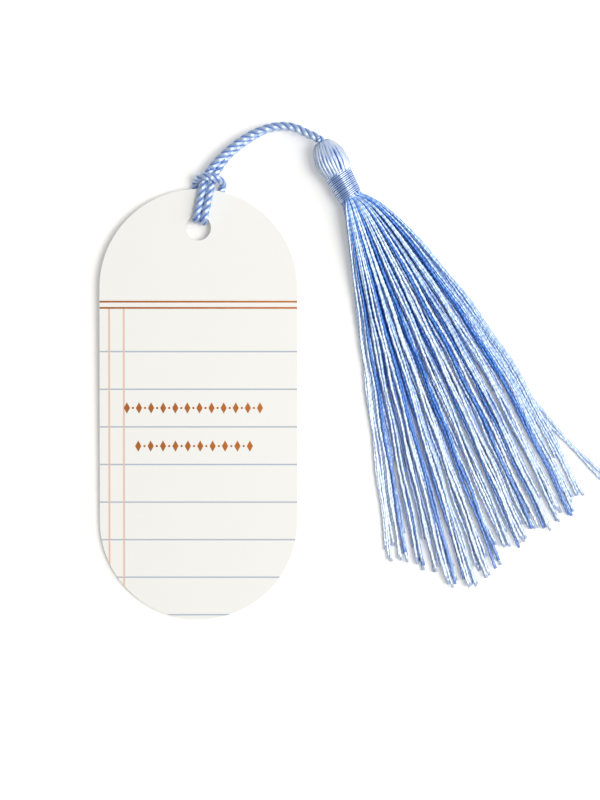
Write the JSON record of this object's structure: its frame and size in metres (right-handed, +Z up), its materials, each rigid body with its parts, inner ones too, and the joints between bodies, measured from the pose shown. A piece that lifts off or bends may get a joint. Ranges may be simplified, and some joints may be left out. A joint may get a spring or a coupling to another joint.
{
  "type": "tasselled bookmark",
  "caption": "Flat round-ended card with a punched hole, a twisted cord tied through it as a lark's head, and a bound tassel whose threads fan out; marks a page with the tassel hanging out.",
  "frame": {"origin": "middle of the card's lower end, on its back face, where it touches the table", "axes": "+Z up from the table, +Y along the card towards its hole, +X across the card towards the tassel"},
  "size_m": [0.1284, 0.1278, 0.0088],
  "materials": {
    "facing_paper": "smooth uncoated ivory paper with printed rules and pressed foil",
    "board": "plain pale board, seen at the cut edge",
    "cord": "twisted silky cord",
    "thread": "silky lightly twisted thread"
  },
  "bodies": {
    "card": {"front_sheet": "facing_paper", "card_core": "board", "back_sheet": "facing_paper"},
    "hitch": {"hitch_cord": "cord"},
    "loop": {"upper_leg": "cord", "lower_leg": "cord"},
    "tassel": {"loop_knot": "cord", "tassel_head": "thread", "neck_binding": "thread", "skirt_layer_1": "thread", "skirt_layer_2": "thread", "skirt_layer_3": "thread", "skirt_layer_4": "thread", "skirt_layer_5": "thread"}
  },
  "joints": [
    {"name": "hitch_swing", "type": "hinge", "parent": "card", "child": "hitch", "pos_m": [0, 0.10073, 0.00208], "axis": [0, -0.0206, 0.9998], "range_deg": [-6, 10]},
    {"name": "loop_fold", "type": "hinge", "parent": "hitch", "child": "loop", "pos_m": [0.00416, 0.11575, 0.00384], "axis": [0.9763, -0.2164, -0.0045], "range_deg": [-75, 60]},
    {"name": "tassel_swing", "type": "hinge", "parent": "loop", "child": "tassel", "pos_m": [0.0311, 0.1234, 0.00442], "axis": [0, 0, 1], "range_deg": [-6, 90]}
  ]
}
